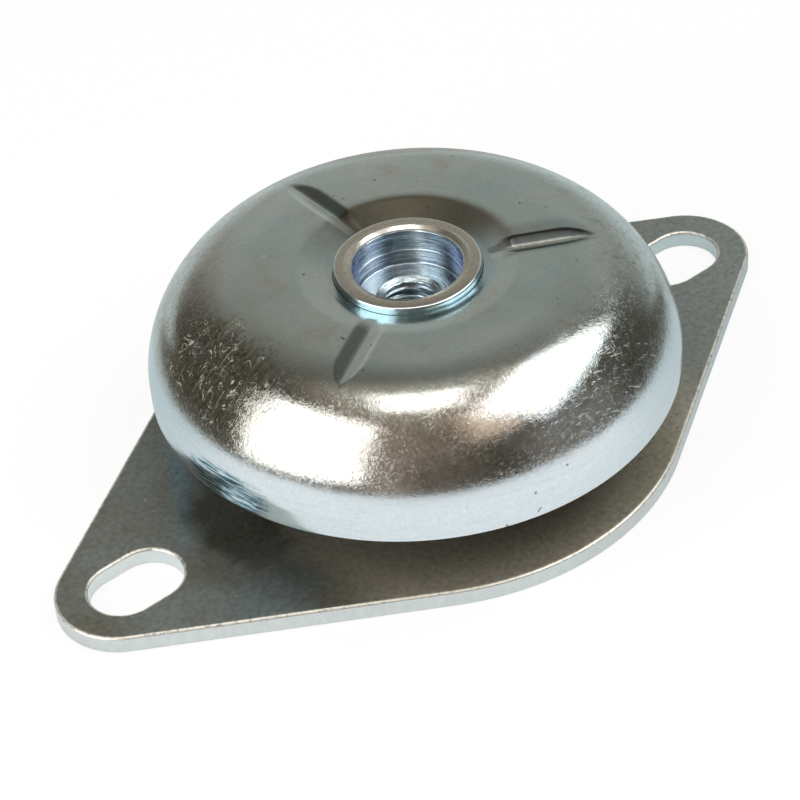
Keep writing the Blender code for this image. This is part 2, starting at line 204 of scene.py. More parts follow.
def collar_profile():
    """From the plate's top up the collar, through its hole and down inside to the plate's underside."""
    lip = COLLAR_HEIGHT - PLATE_THICKNESS
    mouth = collar_radius(0, -PLATE_THICKNESS)
    outer_end = COLLAR_FOOT_RADIUS + COLLAR_BEND
    inner_bend = COLLAR_BEND + PLATE_THICKNESS
    inner_end = mouth + inner_bend
    return bent(
        [
            (outer_end + FLAT_MARGIN, PLATE_THICKNESS, 0),
            (outer_end, PLATE_THICKNESS, 0),
            (COLLAR_FOOT_RADIUS, PLATE_THICKNESS, COLLAR_BEND),
            (COLLAR_TOP_RADIUS, COLLAR_HEIGHT, COLLAR_BEND),
            (COLLAR_HOLE_RADIUS, COLLAR_HEIGHT, COLLAR_HOLE_EDGE),
            (COLLAR_HOLE_RADIUS, lip, COLLAR_HOLE_EDGE),
            (collar_radius(lip, -PLATE_THICKNESS), lip, COLLAR_INNER_BEND),
            (mouth, 0, inner_bend),
            (inner_end, 0, 0),
            (inner_end + FLAT_MARGIN, 0, 0),
        ],
        COLLAR_BEND_STEPS,
    )


def edges_of(row):
    """The edges of a closed row."""
    return [
        next(edge for edge in vertex.link_edges if edge.other_vert(vertex) is row[(index + 1) % len(row)])
        for index, vertex in enumerate(row)
    ]


def plate_shape():
    """The whole plate as one closed shape."""
    shape = bmesh.new()
    edge = sheared_edge()
    outlines = [
        [loop(shape, plate_outline(inset), z) for inset, z in edge],
        [loop(shape, slot_outline(-SLOT_SPACING / 2, inset), z) for inset, z in edge],
        [loop(shape, slot_outline(SLOT_SPACING / 2, inset), z) for inset, z in edge],
        turned_rows(shape, collar_profile(), round_angles(ROUND_STEPS)),
    ]
    for rows in outlines:
        skin(shape, rows)
    for side in (0, -1):
        rims = [found for rows in outlines for found in edges_of(rows[side])]
        bmesh.ops.triangle_fill(shape, use_beauty=True, use_dissolve=False, edges=rims)
    return shape


class Wire:
    """A socket that values flow from, in a finish or in a geometry tree.

    Sums with it add Math nodes, and add() makes any other node.
    """

    def __init__(self, tree, socket):
        self.tree = tree
        self.socket = socket

    def add(self, kind, settings=None, feeds=None, output=0):
        """A node: its settings come first, then the values or wires of its sockets."""
        node = self.tree.nodes.new(kind)
        for name, value in (settings or {}).items():
            setattr(node, name, value)
        for place, value in (feeds or {}).items():
            if isinstance(value, Wire):
                self.tree.links.new(value.socket, node.inputs[place])
            else:
                node.inputs[place].default_value = value
        return Wire(self.tree, node.outputs[output])

    def maths(self, operation, *terms):
        """A Math node."""
        return self.add("ShaderNodeMath", {"operation": operation}, dict(enumerate(terms)))

    def __add__(self, other):
        return self.maths("ADD", self, other)

    def __radd__(self, other):
        return self.maths("ADD", other, self)

    def __sub__(self, other):
        return self.maths("SUBTRACT", self, other)

    def __rsub__(self, other):
        return self.maths("SUBTRACT", other, self)

    def __mul__(self, other):
        return self.maths("MULTIPLY", self, other)

    def __rmul__(self, other):
        return self.maths("MULTIPLY", other, self)

    def __truediv__(self, other):
        return self.maths("DIVIDE", self, other)

    def __rtruediv__(self, other):
        return self.maths("DIVIDE", other, self)

    def __pow__(self, other):
        return self.maths("POWER", self, other)

    def __abs__(self):
        return self.maths("ABSOLUTE", self)

    def parts(self):
        """The x, y and z of a vector."""
        split = self.add("ShaderNodeSeparateXYZ", {}, {0: self})
        return [Wire(self.tree, socket) for socket in split.socket.node.outputs]

    def at_least(self, other):
        """The larger of two values."""
        return self.maths("MAXIMUM", self, other)

    def at_most(self, other):
        """The smaller of two values."""
        return self.maths("MINIMUM", self, other)

    def between(self, low, high, slope="SMOOTHSTEP"):
        """A mask, 0 at low and 1 at high; low may be the larger."""
        feeds = {"Value": self, "From Min": low, "From Max": high}
        return self.add("ShaderNodeMapRange", {"interpolation_type": slope}, feeds)

    def near(self, middle, reach):
        """A smooth mask, 1 at a value and 0 beyond a reach from it."""
        return abs(self - middle).between(reach, 0)

    def tint(self, bare, covered):
        """A colour that goes from bare to covered as this mask goes from 0 to 1."""
        feeds = {MIX_FACTOR: self, MIX_FIRST: as_colour(bare), MIX_SECOND: as_colour(covered)}
        return self.add("ShaderNodeMix", {"data_type": "RGBA"}, feeds, MIX_RESULT)

    def shade(self, colour):
        """A colour made darker or lighter by this value."""
        grey = self.add("ShaderNodeCombineColor", {}, {0: self, 1: self, 2: self})
        settings = {"data_type": "RGBA", "blend_type": "MULTIPLY"}
        feeds = {MIX_FACTOR: 1.0, MIX_FIRST: as_colour(colour), MIX_SECOND: grey}
        return self.add("ShaderNodeMix", settings, feeds, MIX_RESULT)

    def grain(self, scale, detail=2.0, roughness=0.5, distortion=0.0):
        """Noise at this place, from 0 to 1."""
        feeds = {"Vector": self, "Scale": scale, "Detail": detail}
        feeds |= {"Roughness": roughness, "Distortion": distortion}
        return self.add("ShaderNodeTexNoise", {"noise_dimensions": "3D"}, feeds)

    def laid(self, turn, stretch):
        """This place turned and stretched, so that a grain becomes scratches."""
        feeds = {"Vector": self, "Rotation": turn, "Scale": stretch}
        return self.add("ShaderNodeMapping", {"vector_type": "POINT"}, feeds)

    def scratches(self, turn, length, width, cover):
        """Short straight scratches along one direction on a flat top."""
        lines = self.laid((0, 0, turn), (1 / length, 1 / width, 1 / length)).grain(1.0, 1.0, 0.4)
        return lines.between(1 - cover, 1 - cover * SCRATCH_CORE_SHARE)

    def spot(self, middle, reach, ragged, scale):
        """A patch round a place, 1 inside and 0 beyond its reach, with a ragged rim."""
        gap = self.add("ShaderNodeVectorMath", {"operation": "SUBTRACT"}, {0: self, 1: middle})
        away = self.add("ShaderNodeVectorMath", {"operation": "DIVIDE"}, {0: gap, 1: reach})
        away = self.add("ShaderNodeVectorMath", {"operation": "LENGTH"}, {0: away}, 1)
        away = away + (self.grain(scale, 4, 0.65) - 0.5) * ragged
        return away.between(1.0, SPOT_CORE_SHARE)


def as_colour(value):
    """A wire as it is, or an opaque colour from three numbers."""
    return value if isinstance(value, Wire) else (*value, 1.0)


def layered(colour, *layers):
    """A colour with layers over it, each a mask and the colour that it brings."""
    for mask, cover in layers:
        colour = mask.tint(colour, cover)
    return colour


def finish_for(name, metallic):
    """A new finish: its material, its shader node and the wire of object coordinates."""
    material = bpy.data.materials.new(name)
    material.use_nodes = True
    tree = material.node_tree
    shader = tree.nodes["Principled BSDF"]
    shader.inputs["Metallic"].default_value = metallic
    place = Wire(tree, tree.nodes.new("ShaderNodeTexCoord").outputs["Object"])
    return material, shader, place


def feed(shader, **wires):
    """Link wires to a shader's sockets; underscores stand for spaces."""
    for name, wire in wires.items():
        wire.tree.links.new(wire.socket, shader.inputs[name.replace("_", " ")])


def relief(height, distance, strength=1.0, under=None):
    """A bump from a height between 0 and 1, over another bump if there is one."""
    feeds = {"Height": height, "Distance": distance, "Strength": strength}
    if under:
        feeds["Normal"] = under
    return height.add("ShaderNodeBump", {}, feeds)


def plate_zinc():
    """Dull olive-grey zinc, bluish at the far ear, with bright sheared edges; painted shade by the bell's
    left, painted light in front of the bell, and painted highlights at the front right and along the rolled
    edges.
    """
    material, shader, place = finish_for("plate_zinc", 1.0)
    x, y, z = place.parts()
    radius = (x * x + y * y) ** 0.5
    facing = place.add("ShaderNodeTexCoord", output=1).parts()[2]
    wall = abs(facing).between(0.75, 0.35)
    near_top = z.between(PLATE_THICKNESS - 0.0011, PLATE_THICKNESS - 0.0006)
    rolled = facing.between(0.998, 0.95) * facing.between(0.30, 0.55) * near_top
    in_slots = abs(y).between(0.0078, 0.0072) * abs(x).between(0.079, 0.078)
    clouds = place.grain(38, 4, 0.55, 0.6)
    patches = place.grain(95, 5, 0.6, 0.3)
    mottle = place.grain(900, 3, 0.6)

    def mark(middle, reach, ragged, scale):
        """A ragged patch on the plate's top."""
        return place.spot((*middle, PLATE_THICKNESS), (*reach, PLATE_MARK_DEPTH), ragged, scale)

    # Painted light: a lighter tan pool on the plate in front of the bell.
    painted_light_front = radius.between(0.068, 0.052) * y.between(0.01, -0.02)
    painted_light_front = painted_light_front * x.between(0.050, 0.030) * x.between(-0.046, -0.034)
    teal_band = (x * 0.844 - y * 0.539 + clouds * 0.004).near(-0.0445, 0.0032)
    teal_band = teal_band * y.between(-0.003, 0.006) * x.between(-0.03, -0.04)
    sheen = mark((-0.052, -0.021), (0.012, 0.008), 1.2, 130)
    # Painted shade: a dark patch on the plate by the bell's left.
    painted_bell_shade = mark((-0.0440, -0.0015), (0.0105, 0.0160), 1.3, 110)
    painted_bell_shade = painted_bell_shade * (y - x * 0.25 + patches * 0.003).between(-0.0018, -0.0012)
    # Painted highlight: a pale patch at the plate's front right.
    painted_highlight_patch = mark((0.0364, -0.0375), (0.006, 0.006), 0.8, 200)
    colour = layered(
        clouds.between(0.35, 0.68).tint((0.195, 0.19, 0.15), (0.255, 0.28, 0.26)),
        (patches.between(0.5, 0.72) * 0.6, (0.225, 0.27, 0.265)),
        (x.between(0.01, 0.06) * 0.75, (0.34, 0.385, 0.375)),
        (painted_light_front * 0.9, (0.56, 0.515, 0.40)),
        (teal_band * 0.65, (0.26, 0.38, 0.42)),
        (sheen * 0.6, (0.20, 0.26, 0.265)),
        (painted_bell_shade * 0.7, (0.11, 0.11, 0.09)),
        (painted_highlight_patch * 0.4, (0.50, 0.51, 0.47)),
    )
    dark_specks = place.grain(620, 2, 0.6).between(0.70, 0.76)
    pale_specks = place.grain(800, 2, 0.6).between(0.71, 0.76)
    streaks = place.laid((0, 0, -0.63), (90, 1400, 300)).grain(1.0, 3, 0.6)
    drag = streaks.between(0.35, 0.65) * 0.16 + patches * 0.12
    colour = layered(
        (mottle.between(0.2, 0.7) * 0.34 + 0.76).shade(colour),
        (dark_specks * 0.6, (0.06, 0.06, 0.05)),
        (pale_specks * 0.35, (0.75, 0.76, 0.70)),
        (wall, drag.tint((0.64, 0.69, 0.69), (0.38, 0.41, 0.41))),
        (wall * in_slots * 0.6, (0.85, 0.90, 0.88)),
        # Painted highlight: cream along the rolled upper edges.
        (rolled * (mottle.between(0.30, 0.55) * 0.6 + 0.3), (0.86, 0.84, 0.76)),
    )
    lines = place.scratches(0.5, 0.004, 0.00022, 0.30) + place.scratches(-0.9, 0.003, 0.0002, 0.27)
    rough = clouds * 0.10 + mottle * 0.10 + lines * 0.08 + 0.31 - wall * 0.12 - painted_bell_shade * 0.1
    feed(shader, Base_Color=colour, Roughness=rough, Metallic=wall * 0.3 + 0.7)
    waves = relief(place.grain(70, 2, 0.5), 0.00012, 0.8)
    pits = relief(place.grain(1500, 3, 0.6), 0.000014, 0.9, waves)
    feed(shader, Normal=relief(lines, 0.000008, 0.8, pits))
    return material


plate = as_piece("slotted_plate", plate_shape(), plate_zinc())
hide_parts("base_plate")
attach(plate, "base")

# Bell: 2.5 mm steel sheet, blanked, drawn to a cup and restruck with a dish round the boss and
# three radial grooves that stiffen the crown, then zinc plated. The draw die has polished the
# shoulder and left it full of fine pulls, while the crown stays satin.
BELL_RADIUS = 0.050
BELL_SHEET = 0.0025
SKIRT_BOTTOM = 0.016
CROWN_HEIGHT = 0.0395
SHOULDER_WIDTH = 0.022
SHOULDER_START = BELL_RADIUS - SHOULDER_WIDTH
SHOULDER_DROP = 0.0195
SHOULDER_TOP_FULLNESS = 2.3
SHOULDER_SIDE_FULLNESS = 1.65
SHOULDER_STEPS = 60
SKIRT_EDGE = 0.0005
DISH_HEIGHT = 0.0380
DISH_FLOOR_RADIUS = 0.0147
DISH_RIM_RADIUS = 0.0202
DISH_BEND = 0.005
BELL_HOLE_RADIUS = 0.01386
GROOVE_COUNT = 3
GROOVE_FIRST_ANGLE = math.radians(90)
GROOVE_ZONE = math.radians(16)
GROOVE_DEPTH = 0.0009
GROOVE_FLANK_SLOPE = 0.39
GROOVE_ROOT_ROUND = 0.0002
GROOVE_EDGE_ROUND = 0.00015
GROOVE_HALF_WIDTH = 0.0028
GROOVE_TAPER_START = 0.0290
GROOVE_TIP = 0.0390
GROOVE_MARK_START = 0.0165
GROOVE_MARK_FULL = 0.0200
GROOVE_MARK_FADE = 0.0325
GROOVE_MARK_END = 0.0368
PRESS_FADE_TOP = 0.010
PRESS_FADE_BOTTOM = 0.016
DISH_EASE = 0.0008
HOLE_EDGE = 0.0001
HOLE_LOWER_EDGE = 0.0003
DISH_BEND_STEPS = 7
EDGE_STEPS = 5
CROWN_STEPS = 16
GROOVE_STEPS = 40
PLAIN_STEPS = 36
BACK_X = 0.594
BACK_Y = 0.805


def bell_side(inset):
    """The bell's outer side, or with an inset its inner one, from the hole to the skirt."""
    crown = CROWN_HEIGHT - inset
    dish = DISH_HEIGHT - inset
    path = bent(
        [
            (0, dish, 0),
            (DISH_FLOOR_RADIUS, dish, DISH_BEND),
            (DISH_RIM_RADIUS, crown, DISH_BEND),
            (SHOULDER_START, crown, 0),
        ],
        DISH_BEND_STEPS,
    )
    rim = path[-2][0]
    flat = SHOULDER_START - rim
    path[-1:] = [(rim + flat * step / CROWN_STEPS, crown) for step in range(1, CROWN_STEPS + 1)]
    for step in range(1, SHOULDER_STEPS + 1):
        angle = math.pi / 2 * step / SHOULDER_STEPS
        out = (SHOULDER_WIDTH - inset) * math.sin(angle) ** (2 / SHOULDER_TOP_FULLNESS)
        down = (SHOULDER_DROP - inset) * (1 - max(math.cos(angle), 0) ** (2 / SHOULDER_SIDE_FULLNESS))
        path.append((SHOULDER_START + out, crown - down))
    hole_rim = BELL_HOLE_RADIUS + HOLE_EDGE
    return [(hole_rim, dish)] + [(x, z) for x, z in path if x > hole_rim + HOLE_EDGE]


def bell_profile():
    """The whole section of the sheet, outer side, skirt edge and inner side."""
    outer = bell_side(0)
    inner = bell_side(BELL_SHEET)
    inner_skirt = BELL_RADIUS - BELL_SHEET
    above_edge = SKIRT_BOTTOM + SKIRT_EDGE * 3
    edge = bent(
        [
            (BELL_RADIUS, above_edge, 0),
            (BELL_RADIUS, SKIRT_BOTTOM, SKIRT_EDGE),
            (inner_skirt, SKIRT_BOTTOM, SKIRT_EDGE),
            (inner_skirt, above_edge, 0),
        ],
        EDGE_STEPS,
    )
    hole_bottom = (BELL_HOLE_RADIUS, DISH_HEIGHT - BELL_SHEET + HOLE_LOWER_EDGE)
    hole_top = (BELL_HOLE_RADIUS, DISH_HEIGHT - HOLE_EDGE)
    return outer + edge + inner[::-1] + [hole_bottom, hole_top]


def bell_angles():
    """Angles round the bell, close together at the grooves."""
    sector = 2 * math.pi / GROOVE_COUNT
    angles = []
    for number in range(GROOVE_COUNT):
        middle = GROOVE_FIRST_ANGLE + sector * number
        angles += [middle + GROOVE_ZONE * step / GROOVE_STEPS for step in range(-GROOVE_STEPS, GROOVE_STEPS)]
        rest = sector - 2 * GROOVE_ZONE
        angles += [middle + GROOVE_ZONE + rest * step / PLAIN_STEPS for step in range(PLAIN_STEPS)]
    return angles


def sized_tree(name, sizes):
    """A geometry tree with a mesh going in and out, and one named input for each size."""
    tree = bpy.data.node_groups.new(name, "GeometryNodeTree")
    tree.interface.new_socket("Mesh", in_out="INPUT", socket_type="NodeSocketGeometry")
    for size, value in sizes.items():
        kind = "NodeSocketInt" if isinstance(value, int) else "NodeSocketFloat"
        tree.interface.new_socket(size, in_out="INPUT", socket_type=kind).default_value = value
    tree.interface.new_socket("Mesh", in_out="OUTPUT", socket_type="NodeSocketGeometry")
    given = tree.nodes.new("NodeGroupInput")
    wires = {socket.name: Wire(tree, socket) for socket in given.outputs if socket.name}
    return tree, wires


def settle(piece, tree, sizes, result, material):
    """Ends a tree, runs it on a piece with these sizes, and keeps the result as a plain mesh."""
    whole = result.add("GeometryNodeRealizeInstances", {}, {0: result})
    whole = whole.add("GeometryNodeSetMaterial", {}, {"Geometry": whole, "Material": material})
    tree.links.new(whole.socket, tree.nodes.new("NodeGroupOutput").inputs[0])
    modifier = piece.modifiers.new(tree.name, "NODES")
    modifier.node_group = tree
    for socket in tree.interface.items_tree:
        if socket.in_out == "INPUT" and socket.name in sizes:
            modifier[socket.identifier] = sizes[socket.name]
    graph = bpy.context.evaluated_depsgraph_get()
    made = bpy.data.meshes.new_from_object(piece.evaluated_get(graph))
    piece.modifiers.clear()
    piece.data = made
    made.name = piece.name
    smooth(made)
    return piece


def press_grooves(piece, material):
    """Press the grooves into a turned shape: each is a keel with a rounded root, pushed to one depth."""
    sizes = {
        "Grooves": GROOVE_COUNT,
        "First angle": GROOVE_FIRST_ANGLE,
        "Crown height": CROWN_HEIGHT,
        "Shoulder start": SHOULDER_START,
        "Shoulder width": SHOULDER_WIDTH,
        "Shoulder drop": SHOULDER_DROP,
        "Top fullness": SHOULDER_TOP_FULLNESS,
        "Side fullness": SHOULDER_SIDE_FULLNESS,
        "Dish depth": CROWN_HEIGHT - DISH_HEIGHT,
        "Dish floor": DISH_FLOOR_RADIUS,
        "Dish rim": DISH_RIM_RADIUS,
        "Groove depth": GROOVE_DEPTH,
        "Flank slope": GROOVE_FLANK_SLOPE,
        "Root round": GROOVE_ROOT_ROUND,
        "Edge round": GROOVE_EDGE_ROUND,
    }
    tree, size = sized_tree("pressed_grooves", sizes)
    mesh = size["Mesh"]
    x, y, z = mesh.add("GeometryNodeInputPosition").parts()
    radius = (x * x + y * y) ** 0.5
    sector = 2 * math.pi / size["Grooves"]
    angle = y.maths("ARCTAN2", y, x) - size["First angle"]
    turns = angle / sector
    aside = angle - turns.maths("ROUND", turns) * sector
    across = radius * aside.maths("SINE", aside)
    out = ((radius - size["Shoulder start"]) / size["Shoulder width"]).at_least(0.0)
    remainder = (1 - out ** size["Top fullness"]).at_least(0.0)
    shoulder = size["Shoulder drop"] * (1 - remainder ** (1 / size["Side fullness"]))
    in_dish = radius.between(size["Dish rim"] + DISH_EASE, size["Dish floor"] - DISH_EASE)
    surface = 0 - shoulder - in_dish * size["Dish depth"]
    root = size["Root round"]
    keel = ((across * across + root * root) ** 0.5 - root) * size["Flank slope"] - size["Groove depth"]
    pressed = surface.maths("SMOOTH_MIN", surface, keel, size["Edge round"])
    crown = size["Crown height"]
    sinking = (pressed - surface) * z.between(crown - PRESS_FADE_BOTTOM, crown - PRESS_FADE_TOP)
    moved = z.add("ShaderNodeCombineXYZ", {}, {2: sinking})
    result = mesh.add("GeometryNodeSetPosition", {}, {"Geometry": mesh, "Offset": moved})
    return settle(piece, tree, sizes, result, material)


def in_groove(x, y, number, low, high, soft=0.2):
    """A strip along a groove, from low to high across it; its edges are at -1 and 1."""
    turn = GROOVE_FIRST_ANGLE + 2 * math.pi * number / GROOVE_COUNT
    along = x * math.cos(turn) + y * math.sin(turn)
    across = y * math.cos(turn) - x * math.sin(turn)
    half_width = along.between(GROOVE_TIP, GROOVE_TAPER_START) * GROOVE_HALF_WIDTH + 0.0001
    share = across / half_width
    strip = share.between(low - soft, low + soft) * share.between(high + soft, high - soft)
    from_dish = along.between(GROOVE_MARK_START, GROOVE_MARK_FULL)
    return strip * from_dish * along.between(GROOVE_MARK_END, GROOVE_MARK_FADE)


def groove_shade_and_highlights(x, y):
    """Masks of painted shade on the flanks of the back, front and right grooves, and of painted highlights
    along the back and front grooves' edges and the right groove's root.
    """
    back, front, right = range(GROOVE_COUNT)
    # Painted shade on the grooves' flanks.
    painted_groove_shade = in_groove(x, y, back, -0.9, -0.1) * 0.4 + in_groove(x, y, front, -0.9, -0.1) * 0.6
    painted_groove_shade = painted_groove_shade + in_groove(x, y, right, 0.24, 1.0, 0.1) * 0.62
    painted_groove_shade = painted_groove_shade + in_groove(x, y, right, 0.3, 2.0, 0.5) * 0.26
    painted_groove_shade = painted_groove_shade + in_groove(x, y, right, -0.95, -0.1) * 0.45
    # Painted highlights along the back and front grooves' edges and the right groove's root.
    wear_and_highlight = in_groove(x, y, back, 0.7, 0.9) + in_groove(x, y, front, 0.75, 0.95)
    return painted_groove_shade, wear_and_highlight + in_groove(x, y, right, 0.0, 0.2, 0.1)


def bell_scratches(place, shoulder, left_wear, right_wear):
    """Masks of fine lines all over, of cuts on the shoulder and of pale scuffs and curls at its sides."""
    lines = place.scratches(0.2, 0.005, 0.00018, 0.29) + place.scratches(1.3, 0.004, 0.00018, 0.28)
    cuts = place.scratches(-0.35, 0.003, 0.00024, 0.33) + place.scratches(0.6, 0.0025, 0.00024, 0.32)
    cuts = (cuts + place.scratches(1.9, 0.0022, 0.00024, 0.32)) * shoulder
    scuffs = place.scratches(0.9, 0.007, 0.0003, 0.36) + place.scratches(-1.0, 0.005, 0.0003, 0.34)
    scuffs = (scuffs * left_wear * 0.3).at_least(cuts * right_wear * 0.8)
    curls = place.grain(260, 2, 0.5, 1.5).near(0.52, 0.022) * place.grain(420, 2, 0.5).between(0.44, 0.56)
    curls = (curls * (left_wear + right_wear * 0.6)).at_most(1.0)
    return lines, cuts, scuffs.at_least(curls)


def bell_zinc():
    """Bright zinc: clouded on the crown, warm, grainy and scuffed on the shoulder, bluish on the skirt;
    painted shade towards -X, in the dish behind the boss and on the grooves' flanks, and painted highlights
    along the grooves' edges and the right groove's root.
    """
    material, shader, place = finish_for("bell_zinc", 1.0)
    x, y, z = place.parts()
    radius = (x * x + y * y) ** 0.5
    shoulder = radius.between(0.032, 0.040) * z.between(0.0245, 0.0275)
    skirt = z.between(0.0285, 0.0250)
    clouds = place.grain(42, 4, 0.55, 0.5)
    patches = place.grain(130, 4, 0.6, 0.4)
    blotches = place.grain(330, 5, 0.75, 0.8)
    pepper = place.grain(1000, 3, 0.75)
    mottle = place.grain(1400, 3, 0.62)
    left_wear = place.spot((-0.040, 0.005, 0.034), (0.012, 0.017, 0.014), 0.9, 160)
    right_wear = place.spot((0.006, -0.043, 0.032), (0.024, 0.011, 0.012), 0.7, 160)
    right_side = (x * BACK_Y - y * BACK_X).between(0.008, 0.034) * shoulder
    seat = radius.between(0.0170, 0.0155) * y.between(0.004, -0.004)
    # Painted shade: a dark brown crescent in the dish behind the boss.
    behind = (x * BACK_X + y * BACK_Y).between(0.003, 0.012) * radius.between(0.0222, 0.0195)
    behind = behind * x.between(-0.005, 0.001)
    drawn = place.laid((0, 0, 0), (110, 110, 1500)).grain(1.0, 3, 0.6).between(0.48, 0.66)
    colour = layered(
        clouds.between(0.36, 0.66).tint((0.57, 0.65, 0.635), (0.67, 0.725, 0.695)),
        (patches.between(0.5, 0.75) * 0.75, (0.53, 0.69, 0.71)),
        (patches.between(0.47, 0.28) * 0.7, (0.58, 0.565, 0.50)),
        # Painted shade: the bell darker towards -X.
        (x.between(-0.010, -0.036) * 0.5, (0.47, 0.49, 0.44)),
        (shoulder * 0.7, (0.68, 0.665, 0.62)),
        (shoulder * blotches.between(0.42, 0.62) * 0.8, (0.52, 0.49, 0.43)),
        (shoulder * pepper.between(0.54, 0.70) * 0.4, (0.26, 0.24, 0.21)),
        (left_wear * blotches.between(0.35, 0.6) * 0.75, (0.50, 0.48, 0.36)),
        (left_wear * pepper.between(0.50, 0.62) * 0.6, (0.20, 0.19, 0.15)),
        (right_wear * blotches.between(0.62, 0.4) * 0.7, (0.52, 0.58, 0.70)),
        (right_side * 0.65, (0.55, 0.625, 0.60)),
        (right_side * blotches.between(0.50, 0.66) * 0.6, (0.33, 0.385, 0.375)),
        (skirt * 0.95, (drawn * 0.45).tint((0.665, 0.745, 0.785), (0.575, 0.665, 0.72))),
        (seat * 0.75, (0.50, 0.61, 0.65)),
        (behind * 0.9, (0.31, 0.29, 0.23)),
    )
    painted_groove_shade, painted_groove_highlights = groove_shade_and_highlights(x, y)
    grime = (mottle.between(0.25, 0.75) * 0.24 + 0.80) * shoulder + (mottle * 0.24 + 0.86) * (1 - shoulder)
    dark_specks = place.grain(520, 1, 0.5).between(0.765, 0.785)
    pale_specks = place.grain(480, 1, 0.5).between(0.235, 0.215)
    swept = place.laid((math.radians(19.5), 0, 0), (300, 200, 2600)).grain(1.0, 4, 0.6, 0.4)
    smear = place.spot((-0.0492, -0.0066, 0.0194), (0.008, 0.0122, 0.0052), 0.8, 260)
    smear = smear * z.between(0.0236, 0.0224)
    lines, cuts, scuffs = bell_scratches(place, shoulder, left_wear, right_wear)
    colour = layered(
        # Random grime, with painted shade on the grooves' flanks.
        (grime * (1 - painted_groove_shade)).shade(colour),
        # Painted highlights along the grooves' edges and the right groove's root.
        (painted_groove_highlights * pepper.between(0.30, 0.5) * 0.7, (0.92, 0.93, 0.90)),
        (dark_specks * 0.7, (0.13, 0.13, 0.11)),
        (pale_specks * 0.5, (0.82, 0.84, 0.80)),
        (smear * swept.between(0.40, 0.47) * 0.9, (0.26, 0.43, 0.52)),
        (smear * swept.between(0.48, 0.54) * 0.95, (0.05, 0.11, 0.14)),
        (scuffs * 0.75, (0.80, 0.79, 0.72)),
    )
    frost = place.grain(1700, 3, 0.7).between(0.48, 0.62) * (patches.between(0.40, 0.56) * 0.7 + 0.3)
    satin = clouds * 0.07 + mottle * 0.06 + 0.125
    polished = mottle * 0.07 + frost * 0.22 + 0.07
    rough = satin + (polished - satin) * shoulder + lines * 0.05 - skirt * 0.01 + scuffs * 0.2
    feed(shader, Base_Color=colour, Roughness=rough, Metallic=1 - scuffs * 0.45)
    waves = relief(place.grain(60, 2, 0.5), 0.00010, 0.6)
    peeled = relief(place.grain(1500, 4, 0.7) * (shoulder * 0.97 + 0.03), 0.000032, 0.8, waves)
    pits = relief(pepper.between(0.5, 0.7) * shoulder, 0.000012, 0.8, peeled)
    fine = relief(mottle, 0.000003, 0.8, pits)
    scored = relief(lines, 0.000004, 0.6, fine)
    wear_and_highlight = (left_wear * 0.5).at_least(right_wear)
    feed(shader, Normal=relief(cuts * (wear_and_highlight * 0.95 + 0.05), 0.000009, 0.8, scored))
    return material


bell_shape = bmesh.new()
bell_rows = turned_rows(bell_shape, bell_profile(), bell_angles())
skin(bell_shape, bell_rows + bell_rows[:1])
bell = press_grooves(as_piece("pressed_bell", bell_shape), bell_zinc())
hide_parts("bell_cap")
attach(bell, "bell")

# Boss: turned from steel bar, with a flange under the bell, a counterbore and an M12 thread cut
# right through. Its lower end is a spigot that is peened over the rebound washer. The face has a
# tan passivated tint; the bore is bright from the tool, with painted highlights and shade in streaks.
BOSS_HEAD_RADIUS = 0.0138
BOSS_TOP_EDGE = 0.0005
COUNTERBORE_RADIUS = 0.0102
COUNTERBORE_FLOOR = 0.0315
RIM_CHAMFER_WIDTH = 0.0014
RIM_CHAMFER_DEPTH = 0.0006
TOOL_STEP = 0.00012
TOOL_STEP_HEIGHT = 0.0346
COUNTERSINK_RADIUS = 0.0064
COUNTERSINK_SLOPE = 0.577
FLANGE_TOP = 0.0352
FLANGE_BOTTOM = 0.0322
FLANGE_RADIUS = 0.017
STEM_RADIUS = 0.013
THREAD_MINOR_RADIUS = 0.0051
THREAD_MAJOR_RADIUS = 0.0060
THREAD_PITCH = 0.00175
THREAD_TOP = COUNTERBORE_FLOOR - (COUNTERSINK_RADIUS - THREAD_MAJOR_RADIUS) * COUNTERSINK_SLOPE
THREAD_CREST_SHARE = 0.25
THREAD_FLANK_SHARE = 0.3125
THREAD_NUDGE_SHARE = 0.0001
THREAD_ROWS = 16
MERGE_DISTANCE = 0.000002
SPIGOT_RADIUS = 0.010
SPIGOT_TOP = 0.0126
PEENED_RADIUS = 0.0116
PEENED_TOP = 0.0090
PEENED_TAPER = 0.0006
PEENED_EDGE = 0.0004
PEENED_LOWER_EDGE = 0.0005
BOSS_BOTTOM = 0.0075
COUNTERSINK_EDGE = 0.0001
COUNTERBORE_ROOT = 0.0004
TOOL_STEP_ROUND = 0.00005
RIM_CHAMFER_ROUND = 0.0014
TURNED_EDGE = 0.0003
FINE_EDGE = 0.0002
BOSS_STEPS = 96


